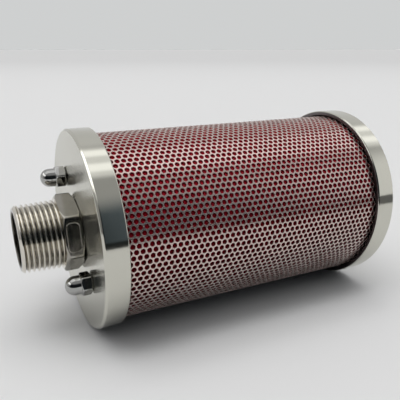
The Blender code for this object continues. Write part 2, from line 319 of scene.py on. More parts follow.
def hexagon_rings(across_flats, turn, rounding, start, end, face_radius, rows):
    """The rings of a hexagon that is chamfered at 30 degrees at both ends."""
    rings = []
    for t in spread(0.0, 1.0, rows):
        x = start + (end - start) * (1 - math.cos(math.pi * t)) / 2  # closer together near the ends
        from_end = min(x - start, end - x)
        limit = face_radius + from_end / math.tan(math.radians(30))
        rings.append((x, hexagon_radius(across_flats, turn, rounding, limit)))
    return rings


def thread_radius(x, pitch, root, crest, envelope):
    """A right-handed thread's radius at x, kept under an envelope such as its chamfered end."""
    middle, half = (root + crest) / 2, (crest - root) / 2

    def radius(angle):
        wave = middle + 1.12 * half * math.cos(2 * math.pi * x / pitch - angle)
        return min(max(wave, root), crest, envelope)

    return radius


def thread_rings(start, end, pitch, root, crest, start_chamfer=0.0, end_chamfer=0.0, per_turn=12):
    """The rings of a threaded length whose ends may be chamfered at 45 degrees, down to the root."""
    rings = []
    for x in spread(start, end, round((end - start) / pitch * per_turn)):
        envelope = crest
        if start_chamfer:
            envelope = min(envelope, crest - start_chamfer + (x - start))
        if end_chamfer:
            envelope = min(envelope, crest - end_chamfer + (end - x))
        rings.append((x, thread_radius(x, pitch, root, crest, envelope)))
    return rings


# ---- node helpers


class Nodes:
    """Short ways to add and join shader nodes in one tree."""

    def __init__(self, tree):
        self.tree = tree

    def add(self, kind, inputs=None, **settings):
        node = self.tree.nodes.new(kind)
        for key, value in settings.items():
            setattr(node, key, value)
        for key, value in (inputs or {}).items():
            self.feed(node.inputs[key], value)
        return node

    def feed(self, socket, value):
        if isinstance(value, bpy.types.NodeSocket):
            self.tree.links.new(value, socket)
        else:
            socket.default_value = value

    def math(self, operation, a, b):
        return self.add("ShaderNodeMath", {0: a, 1: b}, operation=operation).outputs[0]

    def product(self, first, *others):
        for value in others:
            first = self.math("MULTIPLY", first, value)
        return first

    def distance(self, a, b):
        return self.math("ABSOLUTE", self.math("SUBTRACT", a, b), 0.0)

    def between(self, value, low, high, out_low=0.0, out_high=1.0, smooth=True):
        """Maps low..high of a value onto out_low..out_high, eased at both ends if smooth."""
        kind = "SMOOTHSTEP" if smooth else "LINEAR"
        inputs = {"Value": value, "From Min": low, "From Max": high, "To Min": out_low, "To Max": out_high}
        return self.add("ShaderNodeMapRange", inputs, interpolation_type=kind).outputs["Result"]

    def band(self, value, low, full_low, full_high, high):
        """1 from full_low to full_high, easing to 0 at low and at high."""
        return self.product(self.between(value, low, full_low), self.between(value, high, full_high))

    def mix(self, factor, a, b, blend="MIX"):
        inputs = {"Factor": factor, "A": a, "B": b}
        return self.add("ShaderNodeMix", inputs, data_type="RGBA", blend_type=blend).outputs["Result"]

    def brighten(self, light, amount):
        return self.mix(1.0, light, amount, "ADD")

    def ramp(self, factor, stops):
        node = self.add("ShaderNodeValToRGB", {"Fac": factor})
        node.color_ramp.interpolation = "EASE"
        elements = node.color_ramp.elements
        while len(elements) < len(stops):
            elements.new(0.5)
        for element, (position, _) in zip(elements, stops):
            element.position = position
        for element, (_, light) in zip(elements, stops):
            element.color = light
        return node.outputs["Color"]

    def split(self, vector):
        outputs = self.add("ShaderNodeSeparateXYZ", {"Vector": vector}).outputs
        return outputs["X"], outputs["Y"], outputs["Z"]

    def scaled(self, vector, scale):
        node = self.add("ShaderNodeVectorMath", {0: vector, 1: scale}, operation="MULTIPLY")
        return node.outputs["Vector"]

    def length(self, vector):
        return self.add("ShaderNodeVectorMath", {0: vector}, operation="LENGTH").outputs["Value"]


class Surface(Nodes):
    """A new material whose Principled shader takes plain values or patterns in the object's own space."""

    def __init__(self, name, **inputs):
        self.material = bpy.data.materials.new(name)
        self.material.use_nodes = True
        super().__init__(self.material.node_tree)
        self.shader = self.tree.nodes["Principled BSDF"]
        self.place = self.add("ShaderNodeTexCoord").outputs["Object"]
        self.set(**inputs)

    def set(self, **inputs):
        """Sets or links the shader's inputs, with underscores for the spaces in their names."""
        for key, value in inputs.items():
            self.feed(self.shader.inputs[key.replace("_", " ")], value)

    def noise(self, scale, detail, roughness=0.5, vector=None):
        inputs = {"Vector": vector or self.place, "Scale": scale, "Detail": detail, "Roughness": roughness}
        return self.add("ShaderNodeTexNoise", inputs).outputs["Fac"]

    def lines(self, along, across, detail):
        """Noise that is drawn out along the axis when along is smaller than across."""
        return self.noise(1.0, detail, vector=self.scaled(self.place, (along, across, across)))

    def axis_distance(self):
        return self.length(self.scaled(self.place, (0.0, 1.0, 1.0)))

    def turning_marks(self, along, across, detail, roughness=0.5):
        """Noise that is the same all round the axis."""
        joined = self.add("ShaderNodeCombineXYZ")
        self.feed(joined.inputs["X"], self.product(self.split(self.place)[0], along))
        self.feed(joined.inputs["Y"], self.product(self.axis_distance(), across))
        return self.noise(1.0, detail, roughness, joined.outputs["Vector"])

    def worn(self, pattern, low, high):
        """A roughness that follows a noise pattern."""
        return self.between(pattern, 0.3, 0.7, low, high)

    def bump(self, height, strength, distance):
        inputs = {"Height": height, "Strength": strength, "Distance": distance}
        return self.add("ShaderNodeBump", inputs).outputs["Normal"]

    def finish(self, tones, wear, relief):
        """From (pattern, dark, light), (pattern, low, high) and (pattern, strength, distance)."""
        self.set(Base_Color=self.mix(*tones), Roughness=self.worn(*wear), Normal=self.bump(*relief))
        return self.material


def grey(value):
    return (value, value, value, 1.0)


def colour(red, green, blue):
    return (red, green, blue, 1.0)


# ---- materials


def cap_steel(name, roughness, marks_height):
    """Stainless steel with fine turning marks round the axis."""
    steel = Surface(name, Metallic=1.0, Anisotropic=0.6, Anisotropic_Rotation=0.25)
    marks = steel.turning_marks(5200.0, 5200.0, 3.0, 0.7)
    clouds = steel.noise(60.0, 3.0)
    smear = steel.worn(clouds, roughness, roughness * 1.35)
    steel.set(
        Base_Color=steel.mix(clouds, colour(0.57, 0.565, 0.50), colour(0.64, 0.63, 0.565)),
        Roughness=steel.math("ADD", smear, steel.product(marks, 0.05)),
        Normal=steel.bump(marks, marks_height, 0.00003),
        Tangent=steel.add("ShaderNodeTangent", direction_type="RADIAL", axis="X").outputs["Tangent"],
    )
    return steel.material


def dull_cap_steel_painted_shade():
    """The caps' inner faces and grooves: dull steel painted dark, as painted shade in the recesses."""
    steel = Surface("turned inner steel, painted shade", Metallic=1.0)
    marks = steel.turning_marks(2600.0, 2600.0, 3.0, 0.7)
    # the dark tones are painted shade in the grooves and on the inner faces
    tones = (marks, colour(0.10, 0.088, 0.092), colour(0.19, 0.17, 0.17))
    return steel.finish(tones, (marks, 0.26, 0.36), (marks, 0.2, 0.00004))


def sheet_steel():
    """Perforated stainless sheet with a fine rolled grain along the axis."""
    steel = Surface("perforated sheet steel", Metallic=1.0)
    grain = steel.lines(300.0, 4000.0, 2.0)
    clouds = steel.noise(45.0, 3.0)
    tones = (clouds, colour(0.58, 0.455, 0.425), colour(0.67, 0.53, 0.495))
    return steel.finish(tones, (grain, 0.22, 0.30), (grain, 0.15, 0.00003))


def thread_steel():
    """The cut thread with its turning marks, whose roots are painted dark as shade up to the relief behind it.
    """
    steel = Surface("cut thread steel", Metallic=1.0)
    marks = steel.turning_marks(9000.0, 2500.0, 2.0)
    clouds = steel.noise(140.0, 3.0)
    x = steel.split(steel.place)[0]
    tapered = steel.math("SUBTRACT", steel.axis_distance(), steel.product(x, THREAD_TAPER))
    root = THREAD_ROOT_RADIUS - THREAD_GAUGE_LENGTH * THREAD_TAPER
    # 0 in the thread's roots, where shade is painted dark
    crest = steel.between(tapered, root - 0.1 * MM, root + 0.45 * MM)
    relief_start = HEX_FRONT - RELIEF_WIDTH
    outside_painted_root_shade = steel.math("MAXIMUM", crest, steel.between(x, relief_start - 0.2 * MM, relief_start))
    metal = steel.mix(clouds, colour(0.64, 0.61, 0.545), colour(0.74, 0.71, 0.65))
    # the dark tone is painted shade in the roots, left off the relief
    tones = (outside_painted_root_shade, colour(0.12, 0.11, 0.095), metal)
    return steel.finish(tones, (clouds, 0.07, 0.12), (marks, 0.10, 0.00004))


def cast_steel():
    """The hexagon as cast, with a fine pebbled skin."""
    steel = Surface("cast hexagon steel", Metallic=1.0)
    pebbles, clouds = steel.noise(4200.0, 2.0, 0.6), steel.noise(220.0, 3.0)
    tones = (clouds, colour(0.30, 0.287, 0.257), colour(0.39, 0.373, 0.333))
    return steel.finish(tones, (clouds, 0.08, 0.13), (pebbles, 0.09, 0.00008))


def bright_steel():
    """Polished nuts, with faint lines left by the polishing."""
    steel = Surface("polished nut steel", Metallic=1.0)
    lines = steel.noise(900.0, 3.0)
    tones = (lines, colour(0.36, 0.36, 0.35), colour(0.44, 0.44, 0.43))
    return steel.finish(tones, (lines, 0.03, 0.06), (lines, 0.05, 0.00005))


def rod_steel():
    """Drawn steel rod, with its marks along the rod."""
    steel = Surface("drawn rod steel", Metallic=1.0)
    lines = steel.lines(120.0, 5000.0, 2.0)
    tones = (lines, colour(0.53, 0.53, 0.52), colour(0.64, 0.63, 0.61))
    return steel.finish(tones, (lines, 0.2, 0.32), (lines, 0.15, 0.00004))


def red_felt():
    """Dense red felt: short fibres in every direction, lighter where they stand up."""
    felt = Surface("red felt", Metallic=0.0, Sheen_Weight=0.06, Sheen_Roughness=0.5, Specular_IOR_Level=0.15)
    twist = felt.add("ShaderNodeTexNoise", {"Vector": felt.place, "Scale": 700.0, "Detail": 2.0})
    blend = {"Fac": 0.0008, "Color1": felt.place, "Color2": twist.outputs["Color"]}
    bent = felt.add("ShaderNodeMixRGB", blend)
    fibres = felt.noise(4200.0, 4.0, 0.65, bent.outputs["Color"])
    tufts = felt.product(felt.noise(900.0, 2.0), 0.35)
    body = felt.mix(fibres, colour(0.21, 0.001, 0.006), colour(0.57, 0.006, 0.026))
    tones = (tufts, body, colour(0.75, 0.013, 0.044))
    return felt.finish(tones, (fibres, 0.85, 1.0), (fibres, 0.8, 0.00025))


def pale_wool():
    """The absorber blanket: soft undyed wool."""
    wool = Surface("undyed wool", Metallic=0.0, Sheen_Weight=0.2, Sheen_Roughness=0.6)
    fibres = wool.noise(2500.0, 4.0, 0.7)
    tufts = wool.product(wool.noise(260.0, 3.0), 0.5)
    body = wool.mix(fibres, colour(0.52, 0.48, 0.40), colour(0.80, 0.77, 0.69))
    tones = (tufts, body, colour(0.68, 0.63, 0.52))
    return wool.finish(tones, (fibres, 0.9, 1.0), (fibres, 0.9, 0.0005))


def black_rubber():
    """Matt moulded rubber with a little bloom."""
    rubber = Surface("black rubber", Metallic=0.0)
    bloom, grain = rubber.noise(300.0, 4.0), rubber.noise(3000.0, 2.0)
    return rubber.finish((bloom, grey(0.014), grey(0.03)), (bloom, 0.55, 0.8), (grain, 0.2, 0.00005))


# ---- end caps


def cap_grooves(face, into):
    """The outer tube's groove and the inner tube's, each from its outer lip to its inner lip."""
    points = []
    for radius, wall, gap, depth in (
        (TUBE_RADIUS, TUBE_WALL, TUBE_GROOVE_CLEARANCE, TUBE_GROOVE_DEPTH),
        (INNER_TUBE_RADIUS, INNER_TUBE_WALL, FIT_GAP, INNER_GROOVE_DEPTH),
    ):
        bottom, outer, bore = face + into * depth, radius + gap, radius - wall - gap
        points += [(face, outer), (bottom, outer), (bottom, bore), (face, bore)]
    return points


def drill_rod_holes(cap, start, end):
    for side in SIDES:
        cut(cap, drill(ROD_HOLE_RADIUS, start, end, ROD_CENTRES[side]))
    return smooth(cap)


def make_front_end_cap():
    bore = THREAD_RADIUS + FIT_GAP
    profile = [
        (FRONT_FACE, bore),
        (FRONT_FACE, CAP_RADIUS - CAP_CHAMFER),
        (FRONT_FACE + CAP_CHAMFER, CAP_RADIUS),
        (FRONT_INNER_FACE - CAP_INNER_CHAMFER, CAP_RADIUS),
        (FRONT_INNER_FACE, CAP_RADIUS - CAP_INNER_CHAMFER),
        *cap_grooves(FRONT_INNER_FACE, -1),
        (FRONT_INNER_FACE, bore),
    ]
    cap = revolve("front_cap", filleted(profile, CAP_EDGE_ROUNDING, closed=True), CAP_STEPS, closed=True)
    return drill_rod_holes(cap, FRONT_FACE - OVERRUN, FRONT_INNER_FACE + OVERRUN)


def make_rear_end_cap():
    profile = [
        (REAR_INNER_FACE, 0),
        *reversed(cap_grooves(REAR_INNER_FACE, +1)),
        (REAR_INNER_FACE, CAP_RADIUS - CAP_INNER_CHAMFER),
        (REAR_INNER_FACE + CAP_INNER_CHAMFER, CAP_RADIUS),
        (REAR_FACE - CAP_CHAMFER, CAP_RADIUS),
        (REAR_FACE, CAP_RADIUS - CAP_CHAMFER),
        (REAR_FACE, 0),
    ]
    cap = revolve("rear_cap", filleted(profile, CAP_EDGE_ROUNDING), CAP_STEPS)
    return drill_rod_holes(cap, REAR_INNER_FACE - OVERRUN, REAR_INNER_FACE + ROD_REAR_HOLE_DEPTH)


# ---- perforated tubes


class HoleLattice:
    """Staggered holes round a tube, each in the middle of its own six-cornered cell.

    Columns lie half a pitch apart along X, and column 0 is at anchor. Row j has a hole in each column whose
    number is even or odd as j is. Line j of cell corners zigzags before row j, and line "rows" comes after
    the last row. From there a plain seam, SEAM_STRIPS strips wide, leads back to line 0.
    """

    def __init__(self, start, end, radius, pitch, hole_radius, rows, row_step, anchor):
        self.start, self.end, self.radius = start, end, radius
        self.half = pitch / 2
        self.rows, self.row_step, self.anchor = rows, row_step, anchor
        margin = hole_radius + LATTICE_MARGIN
        self.first = math.ceil((start + margin - anchor) / self.half) - 1
        self.last = math.floor((end - margin - anchor) / self.half) + 1
        width = row_step * radius
        self.zigzag = (width / 2 - (width**2 - self.half**2) / (2 * width)) / radius

    def x(self, column):
        if column == self.first:
            return self.start
        if column == self.last:
            return self.end
        return self.anchor + column * self.half

    def row_angle(self, row):
        return FIRST_ROW + row * self.row_step

    def corner(self, line, column):
        """(x, angle) of a cell corner."""
        if line > self.rows:
            x, low = self.corner(self.rows, column)
            high = self.corner(0, column)[1] + 2 * math.pi
            return x, low + (high - low) * (line - self.rows) / SEAM_STRIPS
        middle = FIRST_ROW + (line - 0.5) * self.row_step
        if column in (self.first, self.last):
            return self.x(column), middle
        away = -self.zigzag if (column + line) % 2 == 0 else self.zigzag
        return self.x(column), middle + away

    def holes(self, row):
        first = self.first + 1
        first += (first + row) % 2
        return range(first, self.last, 2)

    def cell(self, row, column):
        """The (line, column) of a cell's six corners, clockwise seen from outside with X to the right."""
        steps = ((0, -1), (1, -1), (1, 0), (1, 1), (0, 1), (0, 0))
        return [(row + line, column + across) for line, across in steps]

    def plain(self, row):
        """The pairs of columns that no cell covers, at a row's ends."""
        holes = self.holes(row)
        pairs = []
        if holes[0] - 1 > self.first:
            pairs.append((self.first, self.first + 1))
        if holes[-1] + 1 < self.last:
            pairs.append((self.last - 1, self.last))
        return pairs


class Shell:
    """A mesh in the making. A vertex is found again by its key, and a face may give its corners' normals."""

    def __init__(self):
        self.vertices, self.faces, self.normals, self.index = [], [], [], {}

    def vertex(self, key, point):
        if key not in self.index:
            self.index[key] = len(self.vertices)
            self.vertices.append(point)
        return self.index[key]

    def face(self, corners, normals=()):
        self.faces.append(corners)
        self.normals.extend(normals)

    def cover(self, first_row, last_row):
        """Adds some of a lattice's rows, and the seam where they end with its last. Gives the line reached."""
        lattice = self.lattice
        for row in range(first_row, last_row):
            for column in lattice.holes(row):
                self.add_hole(row, column)
            for low, high in lattice.plain(row):
                self.add_plain(row, low, high)
            self.add_ends(row)
        if last_row < lattice.rows:
            return last_row
        for line in range(last_row, last_row + SEAM_STRIPS):
            for column in range(lattice.first, lattice.last):
                self.add_plain(line, column, column + 1)
            self.add_ends(line)
        return last_row + SEAM_STRIPS

    def object(self, name):
        obj = add_mesh(name, self.vertices, self.faces)
        obj.data.shade_smooth()
        if self.normals:
            obj.data.normals_split_custom_set(self.normals)
        return obj


def outward(angle):
    return 0.0, -math.sin(angle), math.cos(angle)


def inward(angle):
    return 0.0, math.sin(angle), -math.cos(angle)


def turnwise(angle):
    """The direction in which the angle grows."""
    return 0.0, -math.cos(angle), -math.sin(angle)


def lengthwise(angle):
    return 1.0, 0.0, 0.0


class PerforatedTube(Shell):
    """A closed tube, or a sector of one, with a round hole in each cell of a lattice. The holes' outer edges
    are rounded over, as the punch leaves them."""

    def __init__(self, lattice, wall, hole_radius, edge, first_row, last_row):
        super().__init__()
        self.lattice, self.hole_radius, self.edge = lattice, hole_radius, edge
        self.outer, self.bore = lattice.radius, lattice.radius - wall
        self.whole = first_row == 0 and last_row == lattice.rows
        last_line = self.cover(first_row, last_row)
        if not self.whole:
            for column in range(lattice.first, lattice.last):
                self.add_wall((first_row, column + 1), (first_row, column), turnwise, -1)
                self.add_wall((last_line, column), (last_line, column + 1), turnwise, 1)

    def corner(self, cell, outside):
        """The index and the angle of a cell corner's vertex."""
        line, column = cell
        x, angle = self.lattice.corner(line, column)
        if self.whole and line == self.lattice.rows + SEAM_STRIPS:
            line = 0
        radius = self.outer if outside else self.bore
        return self.vertex((line, column, outside), around(x, radius, angle)), angle

    def add_skin(self, corners, direction):
        self.face([index for index, _ in corners], [direction(angle) for _, angle in corners])

    def add_plain(self, line, low, high):
        cells = [(line, low), (line + 1, low), (line + 1, high), (line, high)]
        self.add_skin([self.corner(cell, True) for cell in cells], outward)
        self.add_skin([self.corner(cell, False) for cell in reversed(cells)], inward)

    def add_wall(self, start, end, direction, sign):
        """A face across the sheet's thickness, below the outer edge that runs from start to end."""
        normal = tuple(sign * part for part in direction(self.lattice.corner(*start)[1]))
        cells = ((end, True), (start, True), (start, False), (end, False))
        self.face([self.corner(cell, outside)[0] for cell, outside in cells], [normal] * 4)

    def add_ends(self, line):
        first, last = self.lattice.first, self.lattice.last
        self.add_wall((line, first), (line + 1, first), lengthwise, -1)
        self.add_wall((line + 1, last), (line, last), lengthwise, 1)

    def add_hole(self, row, column):
        lattice = self.lattice
        middle_x, middle = lattice.x(column), lattice.row_angle(row)
        cells = lattice.cell(row, column)
        turns = []
        for cell in cells:
            x, angle = lattice.corner(*cell)
            turns.append(math.atan2((angle - middle) * self.outer, x - middle_x))
        turns = [t for i in range(6) for t in self.halves(turns[i], turns[(i + 1) % 6])]
        rim = self.ring(row, column, turns, self.hole_radius + self.edge, self.outer)
        throat = self.ring(row, column, turns, self.hole_radius, self.outer - self.edge)
        foot = self.ring(row, column, turns, self.hole_radius, self.bore)
        for i in range(6):
            side = [cells[i], cells[(i + 1) % 6]]
            arc = [(2 * i + step) % HOLE_SIDES for step in (2, 1, 0)]
            self.add_skin([self.corner(cell, True) for cell in side] + [rim[k] for k in arc], outward)
            side.reverse()
            arc.reverse()
            self.add_skin([self.corner(cell, False) for cell in side] + [foot[k] for k in arc], inward)
        up = turnwise(middle)
        to_middle = [(-math.cos(t), -math.sin(t) * up[1], -math.sin(t) * up[2]) for t in turns]
        for k in range(HOLE_SIDES):
            n = (k + 1) % HOLE_SIDES
            (a, a_angle), (b, b_angle), (c, _), (d, _) = rim[k], rim[n], throat[n], throat[k]
            self.face([a, b, c, d], [outward(a_angle), outward(b_angle), to_middle[n], to_middle[k]])
            self.face([d, c, foot[n][0], foot[k][0]], [to_middle[i] for i in (k, n, n, k)])

    @staticmethod
    def halves(turn, next_turn):
        """A direction and the one halfway on, clockwise, to the next."""
        return turn, turn - ((turn - next_turn) % (2 * math.pi)) / 2

    def ring(self, row, column, turns, hole_radius, radius):
        """The indices and angles of the vertices round a hole."""
        middle_x, middle = self.lattice.x(column), self.lattice.row_angle(row)
        found = []
        for k, turn in enumerate(turns):
            x = middle_x + hole_radius * math.cos(turn)
            angle = middle + hole_radius * math.sin(turn) / self.outer
            key = (row, column, radius, hole_radius, k)
            found.append((self.vertex(key, around(x, radius, angle)), angle))
        return found


def outer_lattice(start, end):
    """The outer tube's holes, which the felt follows as well."""
    return HoleLattice(start, end, TUBE_RADIUS, HOLE_PITCH, HOLE_RADIUS, HOLE_ROWS, ROW_STEP, HOLE_ANCHOR)


def make_outer_tube():
    """The sheet is made as three sectors, so that each is light enough to export whole."""
    lattice = outer_lattice(TUBE_START, TUBE_END)
    cuts = [0, HOLE_ROWS // 3, 2 * HOLE_ROWS // 3, HOLE_ROWS]
    return [
        PerforatedTube(lattice, TUBE_WALL, HOLE_RADIUS, HOLE_EDGE, low, high).object(f"outer_tube_{number}")
        for number, (low, high) in enumerate(zip(cuts, cuts[1:]), 1)
    ]


def make_inner_tube():
    holes = (INNER_HOLE_PITCH, INNER_HOLE_RADIUS, INNER_HOLE_ROWS, INNER_ROW_STEP, INNER_TUBE_START)
    lattice = HoleLattice(INNER_TUBE_START, INNER_TUBE_END, INNER_TUBE_RADIUS, *holes)
    tube = PerforatedTube(lattice, INNER_TUBE_WALL, INNER_HOLE_RADIUS, HOLE_EDGE, 0, INNER_HOLE_ROWS)
    return tube.object("inner_tube")


# ---- packing


class FeltSleeve(Shell):
    """The felt, pressed a little way into each hole of the outer tube."""

    def __init__(self):
        super().__init__()
        self.lattice = outer_lattice(PACKING_START, PACKING_END)
        random.seed(4)
        self.cover(0, HOLE_ROWS)

    def corner(self, line, column, outside=True):
        x, angle = self.lattice.corner(line, column)
        radius = FELT_RADIUS if outside else FELT_RADIUS - FELT_THICKNESS
        return self.vertex((line % (HOLE_ROWS + SEAM_STRIPS), column, outside), around(x, radius, angle))

    def add_plain(self, line, low, high):
        a, b = self.corner(line, low), self.corner(line + 1, low)
        c, d = self.corner(line + 1, high), self.corner(line, high)
        self.face([a, b, c, d])

    def add_ends(self, line):
        """The sleeve's inner side and its two ends beside a line."""
        first, last = self.lattice.first, self.lattice.last
        a, b = self.corner(line, first, False), self.corner(line + 1, first, False)
        c, d = self.corner(line + 1, last, False), self.corner(line, last, False)
        self.face([d, c, b, a])
        self.face([self.corner(line + 1, first), self.corner(line, first), a, b])
        self.face([self.corner(line, last), self.corner(line + 1, last), c, d])

    def add_hole(self, row, column):
        """The bulge that the felt makes into a hole."""
        height = FELT_BULGE * random.uniform(0.75, 1.0)
        middle_x, middle = self.lattice.x(column), self.lattice.row_angle(row)
        top = self.vertex((row, column, "top"), around(middle_x, FELT_RADIUS + height, middle))
        cells = self.lattice.cell(row, column)
        reach, rise = BULGE_RING[0] * HOLE_RADIUS, BULGE_RING[1] * height
        ring = []
        for k, cell in enumerate(cells):
            x, angle = self.lattice.corner(*cell)
            turn = math.atan2((angle - middle) * TUBE_RADIUS, x - middle_x)
            point = around(
                middle_x + reach * math.cos(turn),
                FELT_RADIUS + rise,
                middle + reach * math.sin(turn) / TUBE_RADIUS,
            )
            ring.append(self.vertex((row, column, k), point))
        for k in range(6):
            n = (k + 1) % 6
            self.face([self.corner(*cells[k]), self.corner(*cells[n]), ring[n], ring[k]])
            self.face([ring[k], ring[n], top])


def make_felt():
    return smooth(FeltSleeve().object("felt_sleeve"), 60.0)


def make_blanket():
    """A soft wool blanket, lumpy on both sides, whose edges meet in a lengthwise joint."""
    rows = 90
    lumps_along, lumps_round = 90, 3.2
    margin, lump_height, crease_depth = 0.1 * MM, 0.5 * MM, 1.6 * MM
    joint, crease_width = math.radians(200), 0.022

    def skin(x, radius, inwards):
        def at(angle):
            place = Vector((x * lumps_along, lumps_round * math.sin(angle), lumps_round * math.cos(angle)))
            lump = 0.5 + 0.5 * noise.noise(place)
            off_joint = abs((angle - joint + math.pi) % (2 * math.pi) - math.pi)
            crease = crease_depth * math.exp(-((off_joint / crease_width) ** 2))
            return radius - inwards * (margin + lump_height * lump + crease)

        return at

    places = spread(PACKING_START, PACKING_END, rows)
    rings = [(x, skin(x, BLANKET_RADIUS, 1)) for x in places]
    rings += [(x, skin(x, BLANKET_RADIUS - BLANKET_THICKNESS, -1)) for x in reversed(places)]
    return smooth(revolve("wool_blanket", rings, SOFT_STEPS, closed=True), 60.0)


# ---- nipple


def full_thread_radius(x, root, crest, envelope):
    """The pipe thread's radius at x, kept under an envelope. Its crests are fuller than its roots."""

    def radius(angle):
        wave = 0.5 + 0.5 * math.cos(2 * math.pi * x / THREAD_PITCH - angle)
        return min(root + (crest - root) * wave**THREAD_FULLNESS, envelope)

    return radius


def pipe_thread_rings(start, end, per_turn=14):
    """The rings of the tapered outer thread, which starts behind a plain chamfer."""
    depth = THREAD_RADIUS - THREAD_ROOT_RADIUS
    land_end = start + 1.3 * THREAD_CHAMFER
    rings = []
    for x in spread(start, end, round((end - start) / THREAD_PITCH * per_turn)):
        crest = THREAD_RADIUS + (x - start - THREAD_GAUGE_LENGTH) * THREAD_TAPER
        envelope = min(crest, crest - THREAD_CHAMFER + (x - start))
        root = crest - depth if x > land_end else envelope
        rings.append((x, full_thread_radius(x, root, crest, envelope)))
    return rings


def make_nipple():
    """Thread, hexagon, thread and bore in one closed surface."""
    hexagon = (HEX_ACROSS_FLATS, HEX_TURN, HEX_CORNER_ROUNDING, HEX_FRONT, HEX_REAR, HEX_CHAMFER_RADIUS)
    inner_thread = (HEX_REAR + FIT_GAP, NIPPLE_END, THREAD_PITCH, THREAD_ROOT_RADIUS, THREAD_RADIUS)
    outer_thread_end = HEX_FRONT - RELIEF_WIDTH
    fillet = 0.3 * MM
    rings = [
        (NIPPLE_START + NIPPLE_EDGE, NIPPLE_BORE_RADIUS),
        (NIPPLE_START, NIPPLE_BORE_RADIUS + NIPPLE_EDGE),
        *pipe_thread_rings(NIPPLE_START, outer_thread_end),
        (outer_thread_end + 0.1 * MM, RELIEF_RADIUS),
        (HEX_FRONT - fillet, RELIEF_RADIUS),
        (HEX_FRONT, RELIEF_RADIUS + fillet),
        *hexagon_rings(*hexagon, rows=26),
        (HEX_REAR, RELIEF_RADIUS + fillet),
        *thread_rings(*inner_thread, end_chamfer=THREAD_CHAMFER),
        (NIPPLE_END, NIPPLE_BORE_RADIUS + NIPPLE_EDGE),
        (NIPPLE_END - NIPPLE_EDGE, NIPPLE_BORE_RADIUS),
    ]
    return smooth(revolve("nipple", rings, NIPPLE_STEPS, closed=True), 50.0)


def make_cast_frame():
    """The plain raised border that is cast on the hexagon's flat nearest the viewer's side."""
    angle = HEX_TURN + math.radians(30)
    normal, across = Vector(outward(angle)), Vector(turnwise(angle))
    along = Vector((1.0, 0.0, 0.0))
    centre = along * (HEX_FRONT + HEX_REAR) / 2 + normal * HEX_ACROSS_FLATS / 2
    half_x, half_y, corner = 3.1 * MM, 7.0 * MM, 2.2 * MM
    ridge, sunk = 0.30, -0.1 * MM
    path = []
    for quarter in range(4):
        cx = (half_x - corner) * (1 if quarter in (0, 3) else -1)
        cy = (half_y - corner) * (1 if quarter in (0, 1) else -1)
        for step in range(9):
            turn = math.pi / 2 * (quarter + step / 8)
            path.append((cx, cy, math.cos(turn), math.sin(turn)))
    turns = [math.pi * i / 6 for i in range(7)]
    section = [(ridge * math.cos(turn) * MM, ridge * math.sin(turn) * MM) for turn in turns]
    section = [(section[0][0], sunk), *section, (section[-1][0], sunk)]
    vertices = []
    for cx, cy, out_x, out_y in path:
        for offset, height in section:
            x, y = cx + (corner + offset) * out_x, cy + (corner + offset) * out_y
            vertices.append(centre + along * x + across * y + normal * height)
    count, wide = len(path), len(section)
    faces = []
    for i in range(count):
        j = (i + 1) % count
        for k in range(wide):
            n = (k + 1) % wide
            faces.append((i * wide + k, i * wide + n, j * wide + n, j * wide + k))
    return smooth(add_mesh("hexagon_cast_frame", vertices, faces), 60.0)


# ---- tie rods and nuts


def make_tie_rod(side):
    """A rod threaded at both ends, with a plain shank between."""
    front_end, rear_start = ROD_START + ROD_FRONT_THREAD, ROD_END - ROD_REAR_THREAD
    shank_gap = 0.5 * MM
    form = (ROD_PITCH, ROD_ROOT_RADIUS, ROD_RADIUS)
    rings = [
        (ROD_START, 0),
        *thread_rings(ROD_START, front_end, *form, ROD_END_CHAMFER, ROD_RUN_OUT, per_turn=10),
        (front_end + shank_gap, ROD_RADIUS),
        (rear_start - shank_gap, ROD_RADIUS),
        *thread_rings(rear_start, ROD_END, *form, ROD_RUN_OUT, ROD_END_CHAMFER, per_turn=10),
        (ROD_END, 0),
    ]
    return smooth(revolve(f"rod_{side}", rings, ROD_STEPS, ROD_CENTRES[side]), 60.0)


def nut_rings(side, start, end):
    outline = (NUT_ACROSS_FLATS, NUT_TURNS[side], NUT_CORNER_ROUNDING)
    return hexagon_rings(*outline, start, end, NUT_CHAMFER_RADIUS, rows=16)


def make_acorn_nut(side):
    """A domed cap nut. Its blind hole is a little wider than the rod."""
    hex_front = NUT_SEAT - CAP_NUT_HEX_HEIGHT
    radius, dome_steps = CAP_NUT_DOME_RADIUS, 20
    neck, neck_fillet = 0.25 * MM, ((0.07 * MM, 0.02 * MM), (0.0, 0.1 * MM))
    dome = []
    for i in range(dome_steps + 1):
        turn = math.pi / 2 * i / dome_steps
        dome.append((NUT_TIP + radius * (1 - math.cos(turn)), radius * math.sin(turn)))
    rings = [
        *dome,
        (hex_front - neck, radius),
        *[(hex_front - back, radius + rise) for back, rise in neck_fillet],
        *nut_rings(side, hex_front, NUT_SEAT),
        (NUT_SEAT, ROD_HOLE_RADIUS + NUT_HOLE_CHAMFER),
        (NUT_SEAT - NUT_HOLE_CHAMFER, ROD_HOLE_RADIUS),
        (NUT_SEAT - CAP_NUT_HOLE_DEPTH, ROD_HOLE_RADIUS),
        (NUT_SEAT - CAP_NUT_HOLE_DEPTH, 0),
    ]
    return smooth(revolve(f"cap_nut_{side}", rings, NUT_STEPS, ROD_CENTRES[side]))


def make_lock_nut(side):
    rings = [
        (LOCK_NUT_START + NUT_HOLE_CHAMFER, ROD_HOLE_RADIUS),
        (LOCK_NUT_START, ROD_HOLE_RADIUS + NUT_HOLE_CHAMFER),
        *nut_rings(side, LOCK_NUT_START, LOCK_NUT_END),
        (LOCK_NUT_END, ROD_HOLE_RADIUS + NUT_HOLE_CHAMFER),
        (LOCK_NUT_END - NUT_HOLE_CHAMFER, ROD_HOLE_RADIUS),
    ]
    return smooth(revolve(f"lock_nut_{side}", rings, NUT_STEPS, ROD_CENTRES[side], closed=True))


